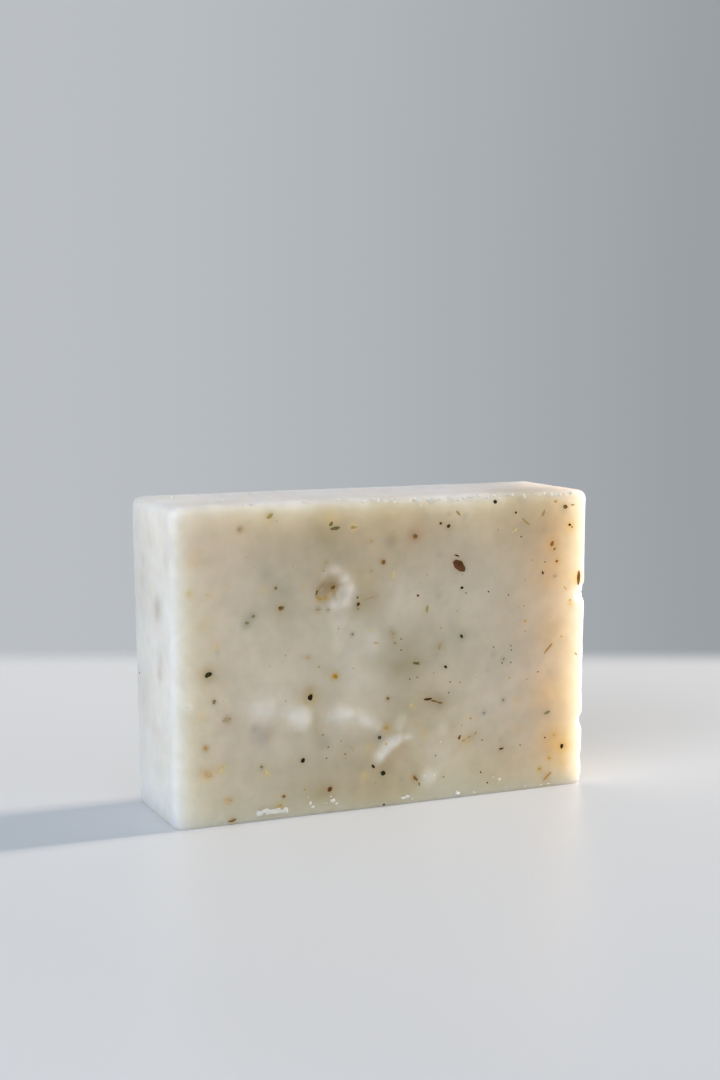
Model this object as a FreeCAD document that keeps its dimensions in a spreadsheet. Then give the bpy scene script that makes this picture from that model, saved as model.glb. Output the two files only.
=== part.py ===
# A hand-made bar of herb soap, standing on its long narrow edge.
#
# Millimetres. +X runs along the bar's length, -Y is the broad face that shows, +Z is up.
# The origin is at the middle of the base, on the surface that the bar stands on.
#
# The bar was cast and cut by hand, so nothing on it is quite square: it is longer and thicker at the
# top than at the base. Its corners and top edges are worn round and nicked where crumbs broke away. The
# base edge, where it stands, is still sharp.
# Dried herbs were stirred into the soap before it was cast. The blade that cut the faces went through
# them too, so each piece of bark, seed, leaf or stem lies in its own hollow and ends flush with the face.

import FreeCAD, Part
import Sketcher
import os

from FreeCAD import Placement, Rotation, Vector

# Driving dimensions: alias, value and what it measures. Lengths are in millimetres.
SIZES = [
    ("bar_height", 58.0, "from the surface it stands on to the top"),
    ("length_top", 84.8, "bar length at the top"),
    ("length_base", 84.1, "bar length at the base, shorter because the ends lean in"),
    ("thick_top", 24.6, "bar thickness at the top"),
    ("thick_base", 22.6, "bar thickness at the base, where the back face leans in"),
    ("worn_r", 1.5, "worn radius of the upright corners and of the edges round the top"),
    ("notch_depth", 1.6, "how deep a notch goes in from the unworn right-hand corner"),
    ("notch_long", 1.8, "half the height of a notch at that corner"),
    ("nick_depth", 1.1, "how deep a nick goes in from the unworn top edge"),
    ("nick_long", 1.6, "half the length of a nick at that edge"),
    ("flake_depth", 0.7, "how deep a flake goes in from the sharp base edge"),
    ("flake_long", 1.8, "half the length of a flake at that edge"),
    ("scar_depth", 1.5, "how deep the long scar goes in from the unworn top edge"),
    ("scar_long", 10.0, "half the length of the long scar at that edge"),
    ("crater_depth", 0.7, "depth of the round crater in the face"),
    ("crater_r", 2.4, "radius of the crater where it meets the face"),
    ("dent_depth", 0.35, "depth of the shallow dents in the face"),
    ("dent_r", 4.5, "radius of a dent where it meets the face"),
    ("herb_depth", 0.6, "how deep the seeds, leaf flakes and bark reach below the face"),
    ("bark_long", 2.5, "length of the largest chip of bark"),
    ("bark_wide", 1.5, "width of the largest chip of bark"),
    ("seed_wide", 1.1, "diameter of a large seed"),
    ("leaf_long", 1.5, "length of a common flake of leaf"),
    ("leaf_wide", 0.8, "width of a common flake of leaf"),
    ("stem_long", 2.4, "length of a common piece of stem"),
    ("stem_wide", 0.5, "diameter of a piece of stem"),
]

# Where things lie on the face: the share of the length from its left-hand end, then the share of the
# height. Herbs add their size as a share of the common piece, and long ones the turn of their long
# side, in degrees up from level.
NOTCHES_UP = [0.215, 0.648]
TOP_NICKS_ACROSS = [0.110, 0.295, 0.360, 0.445]
BASE_FLAKES_ACROSS = [0.235, 0.405, 0.530]
SCAR_ACROSS = 0.607
CRATER = (0.355, 0.711)
DENTS = [(0.195, 0.265), (0.255, 0.295), (0.605, 0.120)]

BARK = [
    (0.675, 0.772, 1.0, -45),
    (0.914, 0.827, 0.5, 60),
    (0.948, 0.949, 0.45, 20),
    (0.244, 0.669, 0.5, -30),
]
SEEDS = [
    (0.682, 0.698, 0.6),
    (0.572, 0.682, 0.5),
    (0.487, 0.797, 0.9),
    (0.564, 0.874, 0.9),
    (0.648, 0.903, 0.8),
    (0.765, 0.960, 0.7),
    (0.961, 0.888, 0.6),
    (0.928, 0.767, 0.5),
    (0.426, 0.666, 0.75),
    (0.311, 0.378, 1.1),
    (0.641, 0.440, 0.65),
    (0.293, 0.177, 0.8),
    (0.356, 0.074, 0.95),
    (0.486, 0.108, 0.95),
    (0.946, 0.135, 0.85),
    (0.477, 0.227, 0.75),
    (0.498, 0.353, 0.6),
    (0.069, 0.247, 0.8),
]
LEAVES = [
    (0.682, 0.537, 0.8, 15),
    (0.568, 0.460, 0.95, 0),
    (0.077, 0.476, 1.1, 20),
    (0.371, 0.913, 1.3, 10),
    (0.906, 0.255, 0.8, 30),
    (0.677, 0.201, 0.75, -10),
    (0.786, 0.148, 0.75, 0),
    (0.567, 0.078, 1.1, -20),
    (0.462, 0.134, 0.65, -15),
    (0.923, 0.955, 0.6, 0),
]
STEMS = [
    (0.596, 0.338, 0.8, 0),
    (0.907, 0.474, 1.1, 50),
    (0.845, 0.906, 0.85, -30),
    (0.891, 0.931, 0.55, 20),
    (0.672, 0.943, 0.5, -50),
    (0.975, 0.707, 1.2, 90),
    (0.595, 0.634, 0.7, 80),
    (0.073, 0.163, 0.7, -35),
    (0.120, 0.073, 0.65, 10),
    (0.817, 0.877, 0.65, 25),
]

# The small end of a leaf flake or bark chip, as a share of its large end.
LEAF_TAPER = 0.3
BARK_TAPER = 0.65

# Dried and broken seeds aren't round: each has this many sides.
SEED_SIDES = 7

FACE = "-Sizes.thick_top / 2"

# The ends of the scales above, as shares of the length and of the height.
RIGHT_END = 1
BASE = 0
TOP = 1

# The soap block that the bar is cut from is thicker than the bar, whose back is then cut off it.
BLANK = "1.2 * max(Sizes.thick_top; Sizes.thick_base)"

# Which way is out of the bar: from its face, and slantwise from three of its edges.
OUT_OF_FACE = Vector(0, -1, 0)
OUT_OF_TOP_EDGE = Vector(0, -1, 1).normalize()
OUT_OF_BASE_EDGE = Vector(0, -1, -1).normalize()
OUT_OF_RIGHT_CORNER = Vector(1, -1, 0).normalize()

doc = FreeCAD.newDocument("herb_soap")


def write_sheet():
    """The driving dimensions, one to a row, with the alias that the features are bound to."""
    sheet = doc.addObject("Spreadsheet::Sheet", "Sizes")
    for row, (alias, value, note) in enumerate(SIZES, start=1):
        sheet.set(f"A{row}", alias)
        sheet.set(f"B{row}", str(value))
        sheet.setAlias(f"B{row}", alias)
        sheet.set(f"C{row}", note)
    doc.recompute()
    return sheet


def length_at(high):
    """Length of the bar at a share of its height: the ends lean, so it isn't the same all the way up."""
    return f"(Sizes.length_base + (Sizes.length_top - Sizes.length_base) * {high})"


def across(share, high):
    """X of a place on the face, from its shares of the length and of the height."""
    return f"({length_at(high)} * {share - 0.5:.3f})"


def up(high):
    """Z of a place on the face, from its share of the height."""
    return f"(Sizes.bar_height * {high})"


def sketch_on(body, name, role, offset="0"):
    """An empty sketch on one of the body's own planes, or level with it at an offset."""
    plane = next(p for p in body.Origin.OriginFeatures if p.Role == role)
    sketch = body.newObject("Sketcher::SketchObject", name)
    sketch.AttachmentSupport = (plane, "")
    sketch.MapMode = "FlatFace"
    sketch.setExpression("AttachmentOffset.Base.z", offset)
    return sketch


def bind(sketch, label, constraint, expression):
    """Add a constraint and tie its value to the sheet."""
    index = sketch.addConstraint(constraint)
    sketch.renameConstraint(index, label)
    sketch.setExpression(f"Constraints.{label}", expression)


def drawn_outline(sketch, corners):
    """A closed outline of straight lines, each joined to the next. Constraints then bring it to size."""
    for start, end in zip(corners, corners[1:] + corners[:1]):
        sketch.addGeometry(Part.LineSegment(start, end))
    for side in range(len(corners)):
        following = (side + 1) % len(corners)
        sketch.addConstraint(Sketcher.Constraint("Coincident", side, 2, following, 1))


def face_outline(body):
    """The outline of the broad face: level at the base and top, with ends that lean in downwards."""
    sketch = sketch_on(body, "FaceOutline", "XZ_Plane", "Sizes.thick_top / 2")
    drawn_outline(sketch, [Vector(-40, 0), Vector(40, 0), Vector(41, 58), Vector(-41, 58)])
    base, top = 0, 2
    sketch.addConstraint(Sketcher.Constraint("PointOnObject", base, 1, -1))
    for line in (base, top):
        sketch.addConstraint(Sketcher.Constraint("Symmetric", line, 1, line, 2, -2))
    bind(sketch, "length_base", Sketcher.Constraint("DistanceX", base, 1, base, 2, 80), "Sizes.length_base")
    bind(sketch, "length_top", Sketcher.Constraint("DistanceX", top, 2, top, 1, 82), "Sizes.length_top")
    bind(sketch, "bar_height", Sketcher.Constraint("DistanceY", base, 1, top, 2, 58), "Sizes.bar_height")
    return sketch


def back_outline(body):
    """What is cut from behind the bar, seen from its end: the back leans in towards the base."""
    sketch = sketch_on(body, "BackOutline", "YZ_Plane")
    drawn_outline(sketch, [Vector(9, 0), Vector(30, 0), Vector(30, 58), Vector(11, 58)])
    base, outer, top = 0, 1, 2
    sketch.addConstraint(Sketcher.Constraint("PointOnObject", base, 1, -1))
    for line in (base, top):
        sketch.addConstraint(Sketcher.Constraint("Horizontal", line))
    sketch.addConstraint(Sketcher.Constraint("Vertical", outer))
    bind(sketch, "back_at_base", Sketcher.Constraint("DistanceX", -1, 1, base, 1, 9),
         "Sizes.thick_base - Sizes.thick_top / 2")
    bind(sketch, "back_at_top", Sketcher.Constraint("DistanceX", -1, 1, top, 2, 11), "Sizes.thick_top / 2")
    bind(sketch, "past_blank", Sketcher.Constraint("DistanceX", -1, 1, outer, 1, 30), BLANK)
    bind(sketch, "bar_height", Sketcher.Constraint("DistanceY", base, 1, top, 2, 58), "Sizes.bar_height")
    return sketch


def turned(turn):
    """A turn in the plane of the face, positive from level towards upright at the right."""
    return Rotation(Vector(0, -1, 0), turn)


def chip(body, name, place, out, half_long, depth):
    """A crumb broken out of the bar: the part of a ball that goes in past an edge or the face.

    place holds expressions along X, Y and Z for the middle of the crumb on the unworn edge or face, and
    out is the way out of the bar there. The ball meets that edge half_long to each side of its middle."""
    faces = len(body.Shape.Faces)
    radius = f"({half_long}^2 + {depth}^2) / (2 * {depth})"
    ball = body.newObject("PartDesign::SubtractiveSphere", name)
    ball.setExpression("Radius", radius)
    for axis, start, share in zip("xyz", place, out):
        ball.setExpression(f"Placement.Base.{axis}", f"{start} + {share:.6f} * ({radius} - {depth})")
    doc.recompute()
    if len(body.Shape.Faces) <= faces:
        raise RuntimeError(f"{name} leaves no hollow in the bar")


def cast_bar():
    """The bar as it was cast, cut, handled and knocked, before its herbs are told apart from it."""
    body = doc.addObject("PartDesign::Body", "CastBar")
    blank = body.newObject("PartDesign::Pad", "Blank")
    blank.Profile = face_outline(body)
    blank.Reversed = True
    blank.setExpression("Length", BLANK)
    doc.recompute()

    outline = back_outline(body)
    cut_back = body.newObject("PartDesign::Pocket", "CutBack")
    cut_back.Profile = outline
    cut_back.Type = "ThroughAll"
    cut_back.SideType = "Symmetric"
    doc.recompute()
    if not cut_back.Shape.Volume < blank.Shape.Volume:
        raise RuntimeError("the back cut takes nothing from the blank")

    height = sheet.bar_height
    tiny = 0.001
    worn_edges = []
    for number, edge in enumerate(cut_back.Shape.Edges, start=1):
        ends = [vertex.Z for vertex in edge.Vertexes]
        if max(ends) > height - tiny:
            worn_edges.append(f"Edge{number}")
    worn = body.newObject("PartDesign::Fillet", "WornEdges")
    worn.Base = (cut_back, worn_edges)
    worn.setExpression("Radius", "Sizes.worn_r")
    doc.recompute()

    for number, high in enumerate(NOTCHES_UP, start=1):
        chip(body, f"Notch{number}", [across(RIGHT_END, high), FACE, up(high)], OUT_OF_RIGHT_CORNER,
             "Sizes.notch_long", "Sizes.notch_depth")
    for number, share in enumerate(TOP_NICKS_ACROSS, start=1):
        chip(body, f"TopNick{number}", [across(share, TOP), FACE, up(TOP)], OUT_OF_TOP_EDGE,
             "Sizes.nick_long", "Sizes.nick_depth")
    chip(body, "Scar", [across(SCAR_ACROSS, TOP), FACE, up(TOP)], OUT_OF_TOP_EDGE,
         "Sizes.scar_long", "Sizes.scar_depth")
    for number, share in enumerate(BASE_FLAKES_ACROSS, start=1):
        chip(body, f"BaseFlake{number}", [across(share, BASE), FACE, up(BASE)], OUT_OF_BASE_EDGE,
             "Sizes.flake_long", "Sizes.flake_depth")
    for number, (share, high) in enumerate(DENTS, start=1):
        chip(body, f"Dent{number}", [across(share, high), FACE, up(high)], OUT_OF_FACE,
             "Sizes.dent_r", "Sizes.dent_depth")
    share, high = CRATER
    chip(body, "Crater", [across(share, high), FACE, up(high)], OUT_OF_FACE,
         "Sizes.crater_r", "Sizes.crater_depth")
    return body


def seed(name, share, high, size):
    """A seed or a round crumb of herb, cut across: a many-sided plug through the plane of the face."""
    piece = doc.addObject("Part::Prism", name)
    piece.Polygon = SEED_SIDES
    piece.setExpression("Circumradius", f"Sizes.seed_wide * {size} / 2")
    piece.setExpression("Height", "Sizes.herb_depth * 2")
    piece.Placement = Placement(Vector(), Rotation(Vector(1, 0, 0), -90))
    piece.setExpression("Placement.Base.x", across(share, high))
    piece.setExpression("Placement.Base.y", f"{FACE} - Sizes.herb_depth")
    piece.setExpression("Placement.Base.z", up(high))
    return piece


def flake(name, share, high, size, turn, kind, taper):
    """A leaf flake or a bark chip: a flat block, narrower at its far end, through the plane of the face.

    It is made standing on its large end and then laid over in the plane of the face."""
    piece = doc.addObject("Part::Wedge", name)
    half_wide = f"Sizes.{kind}_wide * {size} / 2"
    half_long = f"Sizes.{kind}_long * {size} / 2"
    for side, sign in (("min", "-"), ("max", "")):
        piece.setExpression(f"X{side}", f"{sign}{half_wide}")
        piece.setExpression(f"Y{side}", f"{sign}{half_long}")
        piece.setExpression(f"Z{side}", f"{sign}Sizes.herb_depth")
        piece.setExpression(f"X2{side}", f"{sign}{half_wide} * {taper}")
        piece.setExpression(f"Z2{side}", f"{sign}Sizes.herb_depth")
    standing = Rotation(Vector(1, 0, 0), 90)
    piece.Placement = Placement(Vector(), turned(turn - 90) * standing)
    piece.setExpression("Placement.Base.x", across(share, high))
    piece.setExpression("Placement.Base.y", FACE)
    piece.setExpression("Placement.Base.z", up(high))
    return piece


def bark(name, share, high, size, turn):
    return flake(name, share, high, size, turn, "bark", BARK_TAPER)


def leaf(name, share, high, size, turn):
    return flake(name, share, high, size, turn, "leaf", LEAF_TAPER)


def stem(name, share, high, size, turn):
    """A piece of stem: a round stick that lies in the plane of the face, so that half of it is left."""
    piece = doc.addObject("Part::Cylinder", name)
    piece.setExpression("Radius", "Sizes.stem_wide / 2")
    piece.setExpression("Height", f"Sizes.stem_long * {size}")
    piece.Placement = Placement(Vector(), turned(turn - 90))
    half = f"Sizes.stem_long * {size} / 2"
    piece.setExpression("Placement.Base.x", f"{across(share, high)} - {half} * cos({turn} deg)")
    piece.setExpression("Placement.Base.y", FACE)
    piece.setExpression("Placement.Base.z", f"{up(high)} - {half} * sin({turn} deg)")
    return piece


def herb_group(bar, label, make, rows):
    """All the herbs of one kind: their whole shapes, and what the blade left of them in the bar."""
    whole = doc.addObject("Part::Compound", f"Whole_{label}")
    whole.Links = [make(f"{label}_{number}", *row) for number, row in enumerate(rows, start=1)]
    cut_flush = doc.addObject("Part::Common", label)
    cut_flush.Label = label
    cut_flush.Base = bar
    cut_flush.Tool = whole
    return whole, cut_flush


def soap_around(bar, herbs):
    """The soap itself: the cast bar less every herb that it holds."""
    hollows = doc.addObject("Part::Compound", "AllHerbs")
    hollows.Links = herbs
    soap = doc.addObject("Part::Cut", "soap_bar")
    soap.Label = "soap_bar"
    soap.Base = bar
    soap.Tool = hollows
    return soap


sheet = write_sheet()
bar = cast_bar()
groups = [
    herb_group(bar, "bark_chips", bark, BARK),
    herb_group(bar, "seeds", seed, SEEDS),
    herb_group(bar, "leaf_flakes", leaf, LEAVES),
    herb_group(bar, "stem_pieces", stem, STEMS),
]
soap = soap_around(bar, [whole for whole, cut_flush in groups])
nodes = [soap] + [cut_flush for whole, cut_flush in groups]
doc.recompute()

for item in doc.Objects:
    if "Invalid" in item.State or "Error" in item.State:
        raise RuntimeError(f"{item.Name} failed: {item.State}")
for node in nodes:
    if node.Shape.isNull() or not node.Shape.isValid():
        raise RuntimeError(f"{node.Label} has no valid shape")

filled = sum(node.Shape.Volume for node in nodes)
cast = bar.Shape.Volume
if abs(filled - cast) > cast * 1e-6:
    raise RuntimeError(f"the soap and its herbs fill {filled:.3f} of the {cast:.3f} that was cast")

os.makedirs("parts", exist_ok=True)
for node in nodes:
    node.Shape.exportStep(f"parts/{node.Label}.step")
    box = node.Shape.BoundBox
    print(f"{node.Label}: {len(node.Shape.Solids)} solids, {node.Shape.Volume:.3f} mm3, "
          f"{box.XLength:.2f} x {box.YLength:.2f} x {box.ZLength:.2f} mm")
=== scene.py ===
# %% [markdown]
# # A bar of herb soap
# The imported CAD part is loaded first and is never moved: it fixes where the bar stands and how large it
# is. Every finished piece is then fitted to it, in metres, with +X along the bar, -Y towards the viewer
# and +Z up. The box of the CAD part is kept.

# %% Load the frame
import math
import random
import bpy
import numpy as np
from mathutils import Matrix, Vector
from mathutils.kdtree import KDTree


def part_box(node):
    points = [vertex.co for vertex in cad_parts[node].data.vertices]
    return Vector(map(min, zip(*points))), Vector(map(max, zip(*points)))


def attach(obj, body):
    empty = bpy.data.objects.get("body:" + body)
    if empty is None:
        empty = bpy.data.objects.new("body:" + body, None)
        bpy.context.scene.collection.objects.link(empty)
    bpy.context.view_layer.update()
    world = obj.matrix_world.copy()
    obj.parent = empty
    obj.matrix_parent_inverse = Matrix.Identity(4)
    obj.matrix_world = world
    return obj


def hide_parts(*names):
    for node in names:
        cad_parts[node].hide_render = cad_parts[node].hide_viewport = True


MM = 0.001

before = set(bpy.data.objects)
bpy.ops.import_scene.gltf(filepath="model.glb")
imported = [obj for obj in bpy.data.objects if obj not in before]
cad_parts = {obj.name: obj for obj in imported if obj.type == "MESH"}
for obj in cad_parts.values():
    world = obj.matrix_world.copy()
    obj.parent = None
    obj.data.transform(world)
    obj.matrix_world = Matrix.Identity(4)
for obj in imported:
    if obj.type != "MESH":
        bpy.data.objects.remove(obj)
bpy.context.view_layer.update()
bar_low, bar_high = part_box("soap_bar")
bar_size = bar_high - bar_low
print("bar, mm:", [round(side / MM, 2) for side in bar_size])

# %% [markdown]
# ## Helpers
# Colours are written as the hex values that a painter would pick from a screen, and Blender wants light
# that adds up linearly, so one function turns one into the other. Operators act on whatever is selected,
# so each step starts by selecting only the piece that it works on.


# %% Helpers
def linear(hex_colour, alpha=1.0):
    """An sRGB hex colour as the linear red, green, blue and alpha that Blender works in."""
    shares = [int(hex_colour[i:i + 2], 16) / 255 for i in (1, 3, 5)]
    light = [s / 12.92 if s <= 0.04045 else ((s + 0.055) / 1.055) ** 2.4 for s in shares]
    return (*light, alpha)


def select_only(piece):
    if bpy.context.object and bpy.context.object.mode != "OBJECT":
        bpy.ops.object.mode_set(mode="OBJECT")
    bpy.ops.object.select_all(action="DESELECT")
    piece.select_set(True)
    bpy.context.view_layer.objects.active = piece


def apply_modifier(piece, kind, **settings):
    """Adds a modifier with these settings and makes its result the piece's own mesh."""
    select_only(piece)
    modifier = piece.modifiers.new(kind.title(), kind)
    for name, value in settings.items():
        setattr(modifier, name, value)
    bpy.ops.object.modifier_apply(modifier=modifier.name)


def ramp(values, start, width):
    """0 up to the start, then rising to 1 over this width, and 1 from there on."""
    return np.clip((values - start) / width, 0, 1)


def points_of(piece):
    """The places of a mesh's vertices, as one array."""
    flat = np.empty(len(piece.data.vertices) * 3, np.float32)
    piece.data.vertices.foreach_get("co", flat)
    return flat.reshape(-1, 3)


# %% [markdown]
# ## Helpers for materials
# A material is a small tree of shader nodes. One function adds a node together with its settings and the
# links into it. Every pattern is sized by a function that takes its real width in millimetres.

# %% Helper for materials
def add_node(tree, kind, **settings):
    """Adds a shader node. A setting whose name is an input fills or links it; any other is a property."""
    node = tree.nodes.new("ShaderNode" + kind)
    inputs = settings.pop("inputs", {})
    for name, value in settings.items():
        setattr(node, name, value)
    for name, value in inputs.items():
        if isinstance(value, bpy.types.NodeSocket):
            tree.links.new(value, node.inputs[name])
        else:
            node.inputs[name].default_value = value
    return node


def new_material(name):
    """A material with its node tree, its Principled shader and the coordinates of the piece in metres."""
    material = bpy.data.materials.new(name)
    material.use_nodes = True
    tree = material.node_tree
    place = add_node(tree, "TexCoord").outputs["Object"]
    return material, tree, tree.nodes["Principled BSDF"], place


def per_mm(width):
    """The scale that makes a noise or cell pattern this many millimetres wide."""
    return 1 / (width * MM)


# %% [markdown]
# ## Camera
# The photo was taken from close to the bar, a little to the left of its face and a little above it. The
# camera's place, turn and lens were solved from the bar's corners and outline in the picture. The picture
# is 720 pixels wide and 1080 high, and the lens is given for its long side.

# %% Camera
PHOTO_WIDE = 720
PHOTO_HIGH = 1080
LENS_MM = 58.85
SENSOR_MM = 36.0
CAMERA_PLACE = Vector((-137.8, -304.7, 87.9)) * MM
CAMERA_DOWN = 6.65
CAMERA_TURN = -24.22

bpy.ops.object.camera_add(
    location=CAMERA_PLACE,
    rotation=(math.radians(90 - CAMERA_DOWN), 0, math.radians(CAMERA_TURN)),
)
camera = bpy.context.object
camera.name = "Camera"
camera.data.lens = LENS_MM
camera.data.sensor_width = SENSOR_MM
camera.data.clip_start = 0.01
bpy.context.scene.camera = camera
bpy.context.view_layer.update()


def line_of_sight(pixel):
    """From the camera through a pixel of the photo: where it starts, and which way it goes."""
    pixel_mm = SENSOR_MM / PHOTO_HIGH
    across = (pixel[0] - PHOTO_WIDE / 2) * pixel_mm
    up = (PHOTO_HIGH / 2 - pixel[1]) * pixel_mm
    way = camera.matrix_world.to_3x3() @ Vector((across, up, -LENS_MM))
    return camera.matrix_world.translation.copy(), way.normalized()


print("camera looks along", [round(v, 3) for v in line_of_sight((360, 540))[1]])

# %% [markdown]
# ## Floor, backdrop and light
# The bar stands on a smooth, pale table top in front of a blue-grey wall that is far out of focus. The
# wall grows darker to the right, so the camera and the gloss see the world as a blend of two greys by
# direction, while every other ray finds one even grey, which lights the bar from all round. A low sun
# from the right, in line with the bar, lights its far end and throws a soft shadow to the left. A large
# cool window to the left lights the near end.

# %% Floor and backdrop
FLOOR_EDGE_PIXEL = (360, 648)
FLOOR_SIDE = 1.2


def on_floor(pixel):
    start, way = line_of_sight(pixel)
    return start - way * (start.z / way.z)


bpy.ops.object.select_all(action="DESELECT")
bpy.ops.mesh.primitive_plane_add(size=FLOOR_SIDE)
floor = bpy.context.object
floor.name = "Table_Top"
heading = camera.rotation_euler.z
away = Vector((-math.sin(heading), math.cos(heading), 0))
far_edge = on_floor(FLOOR_EDGE_PIXEL)
floor.matrix_world = Matrix.Translation(far_edge - away * FLOOR_SIDE / 2) @ Matrix.Rotation(heading, 4, "Z")
bpy.ops.object.transform_apply(location=True, rotation=True)

# %% Light
WALL_LEFT = "#BBBFC3"
WALL_RIGHT = "#9AA0A4"
WALL_SPAN = (0.24, 0.57)
WALL_CURVE = 1.5
ROOM_LIGHT = "#ADB3B8"
SUN_HEIGHT = 15
SUN_TURN = -0.6
SUN_STRENGTH = 4.8
SUN_SPREAD = 5
SUN_COLOUR = "#FFEFDD"
WINDOW_PLACE = Vector((-1.12, -0.70, 0.58))
WINDOW_SIDE = 1.1
WINDOW_WATTS = 14
WINDOW_COLOUR = "#E3EEFF"

world = bpy.data.worlds.new("Backdrop")
world.use_nodes = True
bpy.context.scene.world = world
tree = world.node_tree
toward = add_node(tree, "SeparateXYZ", inputs={0: add_node(tree, "TexCoord").outputs["Generated"]})
share = add_node(tree, "MapRange", inputs={0: toward.outputs[0], 1: WALL_SPAN[0], 2: WALL_SPAN[1]})
slow = add_node(tree, "Math", operation="POWER", inputs={0: share.outputs[0], 1: WALL_CURVE})
wall = add_node(tree, "Mix", data_type="RGBA",
                inputs={0: slow.outputs[0], 6: linear(WALL_LEFT), 7: linear(WALL_RIGHT)})
path = add_node(tree, "LightPath").outputs
seen = add_node(tree, "Math", operation="MAXIMUM",
                inputs={0: path["Is Camera Ray"], 1: path["Is Glossy Ray"]})
shown = add_node(tree, "Mix", data_type="RGBA",
                 inputs={0: seen.outputs[0], 6: linear(ROOM_LIGHT), 7: wall.outputs[2]})
tree.links.new(shown.outputs[2], tree.nodes["Background"].inputs["Color"])

bpy.ops.object.light_add(type="SUN", rotation=(0, math.radians(90 - SUN_HEIGHT), math.radians(SUN_TURN)))
sun = bpy.context.object
sun.name = "Low_Sun"
sun.data.energy = SUN_STRENGTH
sun.data.angle = math.radians(SUN_SPREAD)
sun.data.color = linear(SUN_COLOUR)[:3]

bpy.ops.object.light_add(type="AREA", location=WINDOW_PLACE)
window = bpy.context.object
window.name = "Cool_Window"
window.rotation_euler = (-WINDOW_PLACE).to_track_quat("-Z", "Y").to_euler()
window.data.size = WINDOW_SIDE
window.data.energy = WINDOW_WATTS
window.data.color = linear(WINDOW_COLOUR)[:3]

bpy.context.scene.view_settings.view_transform = "Standard"

# %% [markdown]
# ## The bar
# Soap is poured into a mould, left to set and cut with a wire or blade, so the bar starts as a plain
# block. The ends and the back lean, and its upright corners and top edges are worn round. It is made
# from a cube at the bar's own size: the lean is given by moving the lower corners in edit mode, and the
# wear by a bevel. The base edges stay nearly sharp.

# %% The block
END_LEAN = 0.35 * MM
BACK_LEAN = 2.0 * MM
WORN_WIDTH = 1.7 * MM
SHARP_WIDTH = 0.2 * MM
TINY = 0.01 * MM

bpy.ops.object.select_all(action="DESELECT")
bpy.ops.mesh.primitive_cube_add(size=1, location=(bar_low + bar_high) / 2)
soap = bpy.context.object
soap.name = "Herb_Soap"
soap.scale = bar_size
bpy.ops.object.transform_apply(location=True, scale=True)


def select_where(piece, kind, wanted):
    """In edit mode, selects the vertices, edges or faces for which wanted says yes."""
    select_only(piece)
    bpy.ops.object.mode_set(mode="EDIT")
    bpy.ops.mesh.select_mode(type=kind)
    bpy.ops.mesh.select_all(action="DESELECT")
    bpy.ops.object.mode_set(mode="OBJECT")
    parts = {"VERT": piece.data.vertices, "EDGE": piece.data.edges, "FACE": piece.data.polygons}[kind]
    found = 0
    for part in parts:
        part.select = wanted(part)
        found += part.select
    bpy.ops.object.mode_set(mode="EDIT")
    return found


def at_base(vertex):
    return vertex.co.z < bar_low.z + TINY


def move_selected(step):
    bpy.ops.transform.translate(value=step)
    bpy.ops.object.mode_set(mode="OBJECT")


select_where(soap, "VERT", lambda v: at_base(v) and v.co.x < 0)
move_selected((END_LEAN, 0, 0))
select_where(soap, "VERT", lambda v: at_base(v) and v.co.x > 0)
move_selected((-END_LEAN, 0, 0))
select_where(soap, "VERT", lambda v: at_base(v) and v.co.y > 0)
move_selected((0, -BACK_LEAN, 0))


def edge_at_base(edge):
    return all(at_base(soap.data.vertices[i]) for i in edge.vertices)


worn = select_where(soap, "EDGE", lambda e: not edge_at_base(e))
bpy.ops.mesh.bevel(offset=WORN_WIDTH, segments=5, affect="EDGES", profile=0.5)
bpy.ops.object.mode_set(mode="OBJECT")
sharp = select_where(soap, "EDGE", edge_at_base)
bpy.ops.mesh.bevel(offset=SHARP_WIDTH, segments=2, affect="EDGES", profile=0.5)
bpy.ops.object.mode_set(mode="OBJECT")
print("worn edges:", worn, "sharp edges:", sharp)

# %% [markdown]
# ## Broken edges
# Soap is brittle when dry, and crumbs break off its edges. Each break is cut with a rough ball: an ico
# sphere whose vertices are moved at random, taken away by a Boolean modifier. The breaks lie where the
# photo shows them, so each is placed by a pixel: the line of sight through it meets the block there.

# %% Broken edges
# Pixel of the photo, then the ball's size in millimetres along, through and up the bar.
RIGHT_CORNER_BREAKS = [
    ((582, 593), (2.3, 2.6, 2.1)),
    ((582, 721), (1.5, 2.2, 1.6)),
    ((584.5, 563), (0.6, 1.2, 1.3)),
    ((583.5, 641), (0.7, 1.0, 1.5)),
    ((583, 664), (0.6, 1.2, 0.9)),
    ((583, 690), (0.6, 1.0, 1.1)),
    ((582.5, 757), (0.6, 1.2, 1.2)),
    ((581, 779), (1.0, 1.4, 1.0)),
]
TOP_EDGE_BREAKS = [
    ((220, 503), (1.0, 0.9, 0.8)),
    ((251, 504), (0.8, 0.7, 0.6)),
    ((303.5, 502), (0.9, 0.8, 0.7)),
    ((337, 500), (1.0, 0.8, 0.7)),
    ((372, 500.5), (1.0, 0.9, 0.9)),
    ((391, 499.5), (0.7, 0.7, 0.6)),
    ((414.5, 500), (0.9, 1.0, 1.1)),
    ((430, 499.5), (1.2, 1.0, 1.1)),
    ((449, 498), (1.5, 0.8, 0.9)),
    ((467, 497.5), (1.8, 0.8, 0.8)),
    ((487, 496), (1.6, 0.7, 0.7)),
    ((508, 494.5), (1.5, 0.7, 0.7)),
    ((529, 494), (1.4, 0.6, 0.6)),
    ((546, 494), (1.2, 0.8, 0.6)),
]
BASE_EDGE_BREAKS = [
    ((224, 824), (1.3, 0.7, 0.5)),
    ((333, 811), (0.8, 0.6, 0.5)),
    ((413, 801), (1.0, 0.7, 0.6)),
    ((462, 795.5), (0.9, 0.7, 0.6)),
    ((509, 790), (0.8, 0.5, 0.4)),
]


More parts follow.
